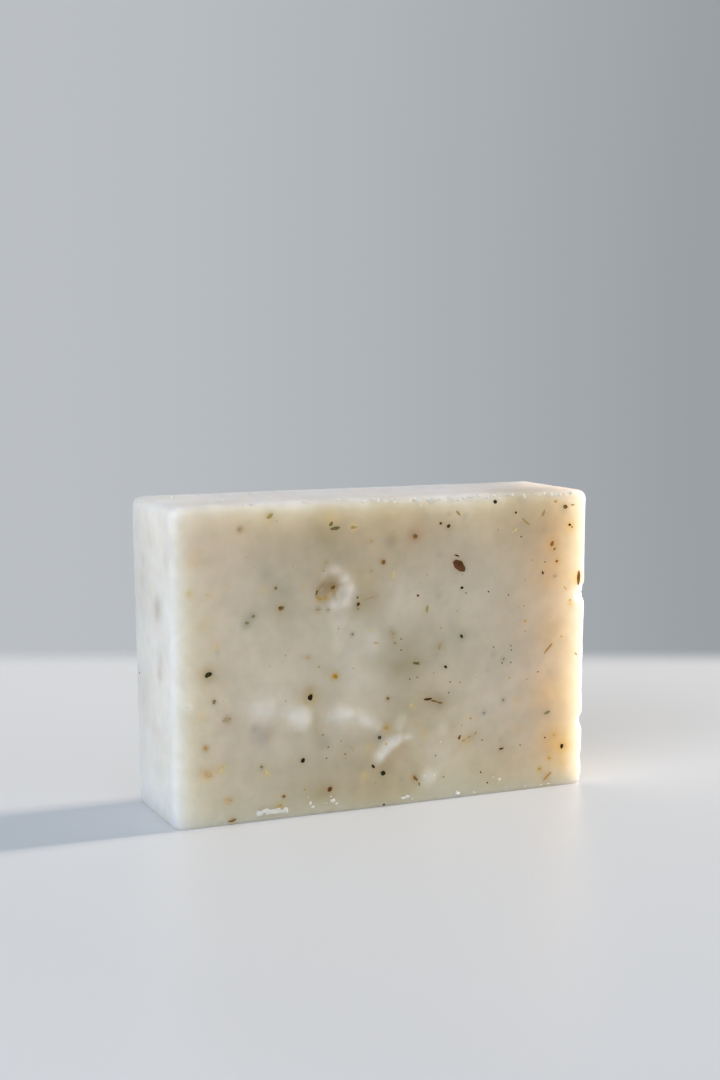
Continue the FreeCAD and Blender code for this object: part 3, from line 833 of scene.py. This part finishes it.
# %% Fleck lists
# Pixel of the photo, length and width in mm, turn in degrees from level, colour.
BARK_FLECKS = [
    ((459.4, 566), 3.7, 1.8, -42, "chestnut"), ((457, 555.5), 1.2, 0.3, -20, "darkbrown"),
    ((551.9, 543.8), 1.2, 0.8, 60, "orange"), ((554.5, 549), 0.6, 0.4, 30, "orange"),
    ((578.5, 577.9), 2.9, 0.7, 88, "orange"), ((281.2, 608.2), 1.3, 0.8, 10, "brown"),
    ((280, 607.5), 0.6, 0.4, 0, "darkbrown"), ((329.7, 789.2), 1.1, 0.9, 40, "redbrown"),
    ((310.3, 697.4), 1.3, 1.0, 70, "black"), ((208.3, 674.9), 1.4, 0.9, 25, "greenblack"),
    ((427.6, 699.2), 1.9, 0.5, 2, "darkbrown"), ((434.5, 701.2), 1.6, 0.45, -15, "brown"),
    ((561.7, 746.1), 1.0, 0.7, 85, "black"),
]
SEED_FLECKS = [
    ((461.9, 587.7), 0.7, 0.5, 15, "black"), ((417.9, 595.5), 0.5, 0.45, 0, "darkbrown"),
    ((383.4, 562), 0.9, 0.8, 70, "brown"), ((415.1, 536.3), 0.9, 0.85, 0, "brown"),
    ((440.7, 523.4), 0.6, 0.55, 0, "redbrown"), ((448.6, 526), 0.8, 0.65, 30, "darkbrown"),
    ((495.2, 501.8), 0.8, 0.75, 0, "greenblack"), ((515.8, 512.6), 0.5, 0.5, 0, "darkbrown"),
    ((521.1, 536.7), 0.3, 0.3, 0, "darkbrown"), ((565.2, 506.8), 1.0, 0.8, -20, "brown"),
    ((569.7, 524.7), 0.6, 0.5, 0, "darkbrown"), ((572, 527), 0.4, 0.3, 0, "orange"),
    ((556.8, 561.2), 0.6, 0.55, 0, "orange"), ((542.7, 572.8), 0.7, 0.4, -70, "darkbrown"),
    ((554.8, 576.1), 0.6, 0.4, 0, "dull"), ((358.2, 604.3), 0.8, 0.6, 60, "darkbrown"),
    ((357.5, 597.5), 0.5, 0.4, 60, "olive"), ((488.4, 591.6), 0.4, 0.3, -40, "darkbrown"),
    ((508.3, 594.9), 0.3, 0.3, 0, "brown"), ((445.6, 666.8), 0.7, 0.5, -40, "black"),
    ((302.9, 760.5), 0.9, 0.8, 60, "black"), ((379.5, 737.5), 0.75, 0.7, 0, "slate"),
    ((373.2, 766.4), 0.9, 0.5, -50, "greenblack"), ((383.1, 773.2), 1.0, 0.9, 0, "greenblack"),
    ((544.8, 737.5), 0.4, 0.35, 0, "redbrown"), ((480.6, 772.2), 0.4, 0.3, -50, "darkbrown"),
    ((487.1, 782.6), 0.4, 0.35, 0, "redbrown"), ((383.9, 804.5), 0.5, 0.4, 0, "darkbrown"),
    ((387.8, 698.4), 0.6, 0.5, 0, "brown"), ((214.1, 702), 0.9, 0.6, 75, "greygreen"),
    ((275.8, 588.2), 0.6, 0.5, 60, "brown"), ((335.1, 676.4), 1.0, 0.8, -40, "gold"),
    ((240.2, 529.2), 0.7, 0.6, 0, "dull"), ((205.7, 748.4), 0.9, 0.6, -50, "amber"),
    ((316, 593), 1.1, 0.7, 60, "brown"), ((334, 586), 1.5, 0.8, 40, "brown"),
    ((322, 589), 0.9, 0.4, 40, "dull"), ((318.7, 598.7), 1.2, 0.5, -15, "amber"),
    ((325.4, 598), 0.9, 0.5, 30, "amber"), ((330, 594), 0.8, 0.4, 45, "tan"),
    ((139.5, 673), 0.3, 0.25, 0, "black"),
]
LEAF_FLECKS = [
    ((461.6, 636.3), 1.0, 0.5, -50, "greenblack"), ((416.3, 663.2), 1.5, 0.5, -12, "olive"),
    ((335.1, 528.2), 2.0, 0.8, 5, "olive"), ((331, 524), 0.9, 0.6, 60, "olive"),
    ((252.9, 616.5), 0.7, 0.5, 30, "greygreen"), ((247, 623.1), 0.9, 0.6, 0, "greygreen"),
    ((270, 515.9), 1.4, 0.7, 45, "oliveyellow"), ((547, 712.5), 1.5, 0.6, 18, "greygreen"),
    ((261.6, 767), 0.7, 0.5, -60, "greygreen"), ((266.2, 773.2), 1.4, 0.6, -35, "straw"),
    ((555.6, 501.5), 0.8, 0.6, 0, "amber"), ((415.5, 778.5), 1.5, 0.6, -50, "brown"),
    ((419, 784), 0.8, 0.3, -80, "brown"), ((427.1, 609.3), 1.6, 0.6, 80, "oliveyellow"),
    ((354, 527.2), 1.3, 0.6, 10, "oliveyellow"), ((232.5, 820.6), 1.5, 0.5, 8, "brown"),
    ((440.3, 645.8), 1.5, 0.5, 75, "dull"), ((358, 609), 0.7, 0.3, -60, "oliveyellow"),
    ((393, 634), 1.8, 0.45, -65, "dull"),
]
STEM_FLECKS = [
    ((440, 702.7), 1.3, 0.35, -12, "brown"), ((548.1, 648.3), 2.8, 0.42, 48, "honey"),
    ((525.7, 521.4), 2.4, 0.35, -40, "oliveyellow"), ((543.6, 513.1), 1.5, 0.4, 65, "oliveyellow"),
    ((515, 530.5), 1.9, 0.4, 30, "straw"), ((458.2, 513.1), 1.5, 0.45, -50, "oliveyellow"),
    ((572.7, 504.8), 1.0, 0.35, 0, "amber"), ((575.8, 653.7), 0.8, 0.3, -45, "amber"),
    ((459.4, 737.3), 1.1, 0.45, 65, "redbrown"), ((463.5, 740.5), 1.0, 0.3, 10, "amber"),
    ((469, 737), 0.8, 0.25, 30, "oliveyellow"), ((501.4, 748.6), 1.1, 0.4, 8, "darkbrown"),
    ((547.3, 776), 2.6, 0.4, 40, "honey"), ((369, 598.5), 2.4, 0.25, 15, "dull"),
    ((217.2, 646), 1.8, 0.3, 80, "straw"), ((208, 774.7), 1.8, 0.8, -25, "tan"),
    ((221.8, 769.3), 1.9, 0.7, 45, "straw"), ((228.7, 800.7), 1.8, 0.6, 0, "tan"),
    ((411.3, 705.5), 1.2, 0.35, 60, "straw"), ((364, 776), 1.3, 0.5, -70, "straw"),
    ((280, 806), 0.9, 0.4, 30, "amber"), ((283.8, 796.4), 0.7, 0.5, 0, "brown"),
    ((227.1, 719.6), 1.8, 0.7, 12, "dull"), ((308.3, 657.5), 1.1, 0.4, 0, "tan"),
    ((475.5, 733), 0.8, 0.25, 60, "oliveyellow"), ((463, 617), 0.8, 0.25, 70, "straw"),
    ((565, 588), 1.2, 0.2, -50, "amber"), ((570, 600), 0.5, 0.3, 10, "amber"),
    ((441, 628), 0.5, 0.2, 60, "oliveyellow"), ((414, 708), 0.9, 0.25, 50, "straw"),
    ((393.5, 575), 1.6, 0.4, 85, "straw"), ((372, 630), 1.2, 0.35, 10, "straw"),
    ((376, 643), 1.2, 0.4, -10, "tan"), ((318, 609.6), 1.3, 0.4, 0, "dull"),
    ((328, 609.7), 1.0, 0.4, 5, "dull"),
]
# Dots of amber, then tiny dark dots, by pixel and width in mm.
AMBER_DOTS = [
    ((525.2, 621.2), 0.6), ((525.2, 630.9), 0.4), ((523.7, 605.7), 0.45), ((561.4, 636.3), 0.45),
    ((386.4, 727.9), 0.8), ((319, 666.8), 0.45), ((549, 758.2), 0.55), ((539.3, 769), 0.7),
    ((460.2, 682.3), 0.4), ((509.5, 677.8), 0.4), ((526.6, 679), 0.35), ((304.4, 789.7), 0.5),
    ((371.5, 571.2), 0.4), ((371.2, 540.8), 0.5), ((470.5, 718.3), 0.5), ((323.6, 571), 0.45),
    ((325.9, 562.6), 0.4), ((532, 560), 0.35), ((526, 562), 0.25), ((554, 735), 0.35), ((457, 611), 0.3),
    ((341, 741), 0.4), ((352, 747.6), 0.35), ((386, 744), 0.5),
]
TINY_DOTS = [
    (493.4, 647.1), (510.8, 645.8), (511.3, 649.9), (503.7, 659.1), (510.8, 662.4), (537.8, 671.8),
    (483.8, 713), (503.3, 700), (443.6, 776.8), (435.4, 755.6), (482.1, 740), (409.7, 679), (417.1, 677.3),
    (448.6, 692.6), (345, 754), (326.6, 758.2), (328.2, 747.1), (322.8, 734.9), (352.4, 634.2), (545, 562),
    (502, 663), (450, 682), (395, 643), (401, 639), (401, 650), (466, 593), (520, 745),
]

# %% Make and seat the flecks
TINY_DOT_MM = (0.28, 0.25)
PROUD = 0.05 * MM
SUNK = 0.25 * MM
SIDES = {"Bark_Chips": 7, "Seeds": 12, "Leaf_Flakes": 9, "Stem_Pieces": 8}
RAGGED = {"Bark_Chips": 0.16, "Seeds": 0.08, "Leaf_Flakes": 0.28, "Stem_Pieces": 0.14}


def fleck_shape(kind, seed):
    """One fleck, 2 across and 1 thick, its cut face up."""
    bpy.ops.object.select_all(action="DESELECT")
    bpy.ops.mesh.primitive_cylinder_add(vertices=SIDES[kind], radius=1, depth=1, end_fill_type="TRIFAN")
    shape = bpy.context.object
    bpy.ops.object.mode_set(mode="EDIT")
    bpy.ops.mesh.select_all(action="SELECT")
    bpy.ops.transform.vertex_random(offset=RAGGED[kind], uniform=1.0, seed=seed)
    bpy.ops.object.mode_set(mode="OBJECT")
    return shape


def seat(kind, place, way_out, long_mm, wide_mm, turn, colour, seed):
    """One fleck in the soap's skin at a place, lying square to the way out of the soap there."""
    fleck = fleck_shape(kind, seed)
    stand = way_out.to_track_quat("Z", "Y").to_matrix().to_4x4()
    deep = PROUD + SUNK
    middle = place + way_out * (PROUD - deep / 2)
    size = Matrix.Diagonal((long_mm * MM / 2, wide_mm * MM / 2, deep, 1))
    turned = Matrix.Rotation(math.radians(turn), 4, "Z")
    fleck.matrix_world = Matrix.Translation(middle) @ stand @ turned @ size
    bpy.ops.object.transform_apply(location=True, rotation=True, scale=True)
    hue = fleck.data.color_attributes.new(name="Herb", type="FLOAT_COLOR", domain="POINT")
    hue.data.foreach_set("color", linear(HERB[colour]) * len(fleck.data.vertices))
    return fleck


def gather(name, flecks):
    """Joins the flecks of a kind into one piece at the origin."""
    select_only(flecks[0])
    for fleck in flecks:
        fleck.select_set(True)
    bpy.ops.object.join()
    bpy.context.object.name = name
    return bpy.context.object


rows = {
    "Bark_Chips": BARK_FLECKS,
    "Seeds": SEED_FLECKS
    + [(pixel, wide, wide * 0.8, 0, "amber") for pixel, wide in AMBER_DOTS]
    + [(pixel, *TINY_DOT_MM, 0, "darkbrown") for pixel in TINY_DOTS],
    "Leaf_Flakes": LEAF_FLECKS,
    "Stem_Pieces": STEM_FLECKS,
}
herbs = {}
for kind, kind_rows in rows.items():
    flecks = []
    for number, (pixel, long_mm, wide_mm, turn, colour) in enumerate(kind_rows):
        place, way_out = seen_on(soap, pixel)
        flecks.append(seat(kind, place, way_out, long_mm, wide_mm, turn, colour, seed=number))
    herbs[kind] = flecks
    print(kind, len(flecks))

# %% [markdown]
# ## Herbs on the sides that the photo doesn't show
# The back and the far end were cut from the same loaf, so they show herbs too. The rows below are drawn
# at random, with a fixed seed, and seated by looking at the bar from that side. The same draw then
# carries on along the upper edge, for its crumbs.

# %% Herbs elsewhere
HIDDEN_HERBS = {"Bark_Chips": 10, "Seeds": 90, "Leaf_Flakes": 20, "Stem_Pieces": 40}
# Shortest and longest of each kind in mm, and then its width as a share of its length.
HERB_SIZES = {
    "Bark_Chips": (1.0, 2.4), "Seeds": (0.25, 0.9), "Leaf_Flakes": (0.8, 1.8), "Stem_Pieces": (0.8, 2.4),
}
HERB_SLIM = {"Bark_Chips": 0.6, "Seeds": 0.85, "Leaf_Flakes": 0.5, "Stem_Pieces": 0.22}
HERB_PALETTE = {
    "Bark_Chips": ["darkbrown", "redbrown", "black", "orange"],
    "Seeds": ["black", "darkbrown", "greenblack", "brown", "amber", "redbrown"],
    "Leaf_Flakes": ["olive", "greygreen", "greenblack", "oliveyellow", "straw"],
    "Stem_Pieces": ["amber", "oliveyellow", "straw", "brown", "redbrown"],
}
MARGIN = 3 * MM
FAR = 0.2
BACK_SHARE = 0.68
END_SHARE = 0.20
draw = random.Random(7)


def random_view():
    """A start and a way that look squarely at the back, at the far end or at the base."""
    x = draw.uniform(bar_low.x + MARGIN, bar_high.x - MARGIN)
    y = draw.uniform(bar_low.y + MARGIN, bar_high.y - MARGIN)
    z = draw.uniform(bar_low.z + MARGIN, bar_high.z - MARGIN)
    side = draw.random()
    if side < BACK_SHARE:
        return Vector((x, FAR, z)), Vector((0, -1, 0))
    if side < BACK_SHARE + END_SHARE:
        return Vector((FAR, y, z)), Vector((-1, 0, 0))
    return Vector((x, y, -FAR)), Vector((0, 0, 1))


for kind, count in HIDDEN_HERBS.items():
    for number in range(count):
        start, way = random_view()
        met, place, way_out, face = soap.ray_cast(start, way)
        low, high = HERB_SIZES[kind]
        long_mm = low + (high - low) * draw.random() ** 2
        wide_mm = long_mm * HERB_SLIM[kind] * draw.uniform(0.8, 1.2)
        colour = draw.choice(HERB_PALETTE[kind])
        herbs[kind].append(
            seat(kind, place, way_out, long_mm, wide_mm, draw.uniform(0, 180), colour, seed=100 + number))
print("hidden herbs:", sum(HIDDEN_HERBS.values()))

# %% Herb materials
HERB_RELIEF = 0.05 * MM
NODE_OF = {
    "Bark_Chips": "bark_chips", "Seeds": "seeds", "Leaf_Flakes": "leaf_flakes", "Stem_Pieces": "stem_pieces",
}
# Material, roughness, width of its grain in mm, and how far the grain lightens and darkens it.
MATERIAL_OF = {
    "Bark_Chips": ("Dried_Bark", 0.55, 0.9, 0.5),
    "Seeds": ("Dried_Seed", 0.42, 0.5, 0.2),
    "Leaf_Flakes": ("Dried_Leaf", 0.6, 0.3, 0.25),
    "Stem_Pieces": ("Dried_Stem", 0.5, 0.25, 0.2),
}


def herb_material(name, roughness, grain_mm, contrast):
    """Dried plant matter: the fleck's own colour, uneven in fine grain, a little rough."""
    material, tree, shader, place = new_material(name)
    hue = add_node(tree, "Attribute", attribute_name="Herb").outputs["Color"]
    grain = add_node(tree, "TexNoise", inputs={"Vector": place, "Scale": per_mm(grain_mm), "Detail": 3.0})
    shade = add_node(tree, "MapRange",
                     inputs={0: grain.outputs["Fac"], 1: 0.3, 2: 0.7, 3: 1 - contrast, 4: 1 + contrast})
    uneven = add_node(tree, "Mix", data_type="RGBA", blend_type="MULTIPLY",
                      inputs={0: 1.0, 6: hue, 7: shade.outputs[0]})
    tree.links.new(uneven.outputs[2], shader.inputs["Base Color"])
    bump = add_node(tree, "Bump",
                    inputs={"Height": grain.outputs["Fac"], "Distance": HERB_RELIEF, "Strength": 0.6})
    tree.links.new(bump.outputs[0], shader.inputs["Normal"])
    shader.inputs["Roughness"].default_value = roughness
    shader.inputs["IOR"].default_value = 1.3
    shader.inputs["Specular IOR Level"].default_value = 0.25
    return material


for kind, flecks in herbs.items():
    piece = gather(kind, flecks)
    piece.data.materials.append(herb_material(*MATERIAL_OF[kind]))
    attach(piece, "root")
    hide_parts(NODE_OF[kind])
    print(kind, len(piece.data.polygons), "faces")

# %% [markdown]
# ## Crumbs and burrs
# The cutting wire dragged small burrs along the lower edge, and the worn edges carry crumbs of dry soap,
# frosty and pale against the milky bar. Most are placed by a pixel of the photo, and one more row of
# them, along the right of the upper edge, is drawn at random. Each is a small rough ball, flattened on the
# skin or edge, and a fine voxel remesh melts neighbours into one ragged burr.

# %% Crumbs
# Pixel of the photo, then the size in mm along, through and up.
CRUMBS = [
    ((260, 812.8), (1.5, 0.3, 0.9)), ((265, 811), (1.3, 0.3, 1.0)), ((271, 811.8), (1.6, 0.3, 0.9)),
    ((277, 810.5), (1.5, 0.3, 1.0)), ((282, 811.2), (1.3, 0.3, 0.8)), ((286, 810), (0.9, 0.3, 1.1)),
    ((259, 815.5), (0.9, 0.3, 0.6)), ((268, 813.5), (1.2, 0.3, 0.5)), ((275, 813), (1.4, 0.3, 0.5)),
    ((310.5, 803), (0.5, 0.4, 0.9)), ((313, 806.5), (0.7, 0.4, 0.5)), ((308.5, 797), (0.3, 0.3, 0.4)),
    ((332.7, 800.6), (0.9, 0.5, 0.9)), ((331, 796.5), (0.5, 0.4, 0.5)), ((326, 803), (0.5, 0.3, 0.3)),
    ((336.5, 803.5), (0.5, 0.3, 0.5)), ((403, 798), (1.1, 0.5, 0.6)), ((407.5, 797), (0.9, 0.5, 0.8)),
    ((412, 799), (0.5, 0.4, 0.4)), ((457.5, 793), (0.9, 0.5, 0.8)), ((461.5, 795), (0.5, 0.4, 0.5)),
    ((474, 792), (0.7, 0.3, 0.4)), ((499.3, 779), (0.8, 0.4, 0.7)), ((493, 777), (0.6, 0.3, 0.3)),
    ((548, 783.5), (0.7, 0.3, 0.3)), ((541, 784.5), (0.6, 0.3, 0.3)), ((525, 786), (0.5, 0.3, 0.3)),
    ((220.8, 500.5), (1.2, 0.6, 0.8)), ((216, 499), (0.7, 0.4, 0.4)), ((199.3, 495.8), (0.7, 0.4, 0.3)),
    ((170.9, 497.5), (0.6, 0.4, 0.3)), ((251.4, 504.5), (0.9, 0.4, 0.4)), ((243, 505.5), (0.6, 0.3, 0.3)),
    ((249.5, 493.6), (1.0, 0.6, 0.35)), ((255, 494), (0.7, 0.5, 0.3)), ((268.7, 497), (1.9, 0.5, 0.3)),
    ((303.4, 502), (0.8, 0.4, 0.5)), ((309, 502.5), (0.5, 0.3, 0.3)), ((336.9, 500), (1.0, 0.4, 0.5)),
    ((349.3, 499.6), (0.7, 0.4, 0.4)), ((372.3, 500.6), (0.6, 0.4, 0.7)), ((378, 500), (0.4, 0.3, 0.5)),
    ((391.4, 499.6), (0.6, 0.4, 0.5)), ((409.5, 500.5), (0.5, 0.4, 0.8)), ((414.4, 500), (0.5, 0.4, 1.0)),
    ((420.1, 505.8), (0.4, 0.3, 0.5)), ((425.9, 499), (0.6, 0.4, 0.8)), ((430.7, 501), (0.5, 0.4, 0.7)),
    ((435, 500), (0.5, 0.3, 0.6)), ((439.8, 499), (0.8, 0.4, 0.5)), ((449.5, 498), (0.9, 0.4, 0.3)),
    ((462.5, 498.4), (0.9, 0.3, 0.3)), ((473.4, 497.4), (0.9, 0.3, 0.3)), ((483, 496.3), (0.7, 0.3, 0.3)),
    ((506, 494.2), (0.8, 0.3, 0.3)), ((512.4, 494), (0.6, 0.3, 0.3)), ((534, 494), (0.8, 0.4, 0.4)),
    ((543.9, 494), (0.6, 0.4, 0.4)), ((551, 493.6), (0.7, 0.4, 0.4)), ((560, 494), (0.6, 0.3, 0.3)),
    ((187.6, 706.9), (1.1, 0.3, 0.5)), ((184, 705.5), (0.4, 0.2, 0.3)), ((440.5, 742), (0.4, 0.25, 0.4)),
    ((437, 750), (0.35, 0.25, 0.4)), ((424, 776), (0.5, 0.3, 0.4)), ((434, 775.7), (0.5, 0.3, 0.6)),
    ((429, 780), (0.5, 0.3, 0.3)), ((419, 742), (0.3, 0.2, 0.3)),
]
# The stretch of the upper edge, in pixels, along which more crumbs are drawn at random, and how many.
TOP_CRUMB_LINE = ((362, 500.5), (574, 493.5))
TOP_CRUMBS = 30
CRUMB_VOXEL = 0.1 * MM
CRUMB_DARK = (0.62, 0.59, 0.52, 1)
CRUMB_PALE = (0.80, 0.77, 0.71, 1)
FROST_MM = 0.4


def crumb(place, size_mm, seed):
    bpy.ops.object.select_all(action="DESELECT")
    bpy.ops.mesh.primitive_ico_sphere_add(subdivisions=2, radius=MM / 2, location=place)
    ball = bpy.context.object
    bpy.ops.object.mode_set(mode="EDIT")
    bpy.ops.transform.vertex_random(offset=0.24 * MM, uniform=0.6, normal=0.4, seed=seed)
    bpy.ops.object.mode_set(mode="OBJECT")
    ball.scale = size_mm
    bpy.ops.object.transform_apply(location=True, scale=True)
    return ball


def edge_crumbs(count):
    """Rows like those above, for small crumbs at uneven steps along the upper edge."""
    left, right = TOP_CRUMB_LINE
    rows = []
    for number in range(count):
        share = (number + draw.random()) / count
        across = left[0] + share * (right[0] - left[0])
        down = left[1] + share * (right[1] - left[1]) + draw.uniform(-1.5, 3)
        rows.append(((across, down), (draw.uniform(0.4, 1.4), 0.35, draw.uniform(0.3, 0.7))))
    return rows


balls = []
for number, (pixel, size_mm) in enumerate(CRUMBS + edge_crumbs(TOP_CRUMBS)):
    place, way_out = seen_on(soap, pixel)
    balls.append(crumb(place, size_mm, seed=number))
crumbs = gather("Soap_Crumbs", balls)
apply_modifier(crumbs, "REMESH", mode="VOXEL", voxel_size=CRUMB_VOXEL)
apply_modifier(crumbs, "SMOOTH", factor=0.5, iterations=3)

dry_crumb, tree, shader, place = new_material("Dry_Soap_Crumb")
frost = add_node(tree, "TexNoise", inputs={"Vector": place, "Scale": per_mm(FROST_MM), "Detail": 3.0})
pale = add_node(tree, "Mix", data_type="RGBA",
                inputs={0: frost.outputs["Fac"], 6: CRUMB_DARK, 7: CRUMB_PALE})
tree.links.new(pale.outputs[2], shader.inputs["Base Color"])
shader.inputs["Roughness"].default_value = 0.5
shader.inputs["Subsurface Weight"].default_value = 0.15
shader.inputs["Subsurface Radius"].default_value = (1.0, 0.8, 0.6)
shader.inputs["Subsurface Scale"].default_value = 0.4 * MM
crumbs.data.materials.append(dry_crumb)
crumbs.data.shade_smooth()
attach(crumbs, "root")
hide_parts("soap_bar")
print("crumbs:", len(balls), "faces:", len(crumbs.data.polygons))

# %% [markdown]
# ## Table top
# The table is smooth white paint with a faint sheen. Its colour grows lighter away to the right, where the
# photo's table catches more of the room's light. Its far edge fades out, as it does out of focus.

# %% Table material
NEAR_WHITE = "#D0D3D7"
FAR_WHITE = "#ECECED"
LIGHTER_FROM = -0.107
LIGHTER_TO = 0.17
FADE = 30 * MM

floor_top, tree, shader, place = new_material("Painted_Table_Top")
along = add_node(tree, "VectorMath", operation="DOT_PRODUCT", inputs={0: place, 1: (1.0, 0.5, 0.0)})
share = add_node(tree, "MapRange", inputs={0: along.outputs["Value"], 1: LIGHTER_FROM, 2: LIGHTER_TO})
white = add_node(tree, "Mix", data_type="RGBA",
                 inputs={0: share.outputs[0], 6: linear(NEAR_WHITE), 7: linear(FAR_WHITE)})
tree.links.new(white.outputs[2], shader.inputs["Base Color"])
shader.inputs["Roughness"].default_value = 0.38
edge_at = far_edge.dot(away)
behind = add_node(tree, "VectorMath", operation="DOT_PRODUCT", inputs={0: place, 1: tuple(away)})
solid = add_node(tree, "MapRange", interpolation_type="SMOOTHSTEP",
                 inputs={0: behind.outputs["Value"], 1: edge_at - FADE, 2: edge_at, 3: 1.0, 4: 0.0})
tree.links.new(solid.outputs[0], shader.inputs["Alpha"])
floor.data.materials.append(floor_top)
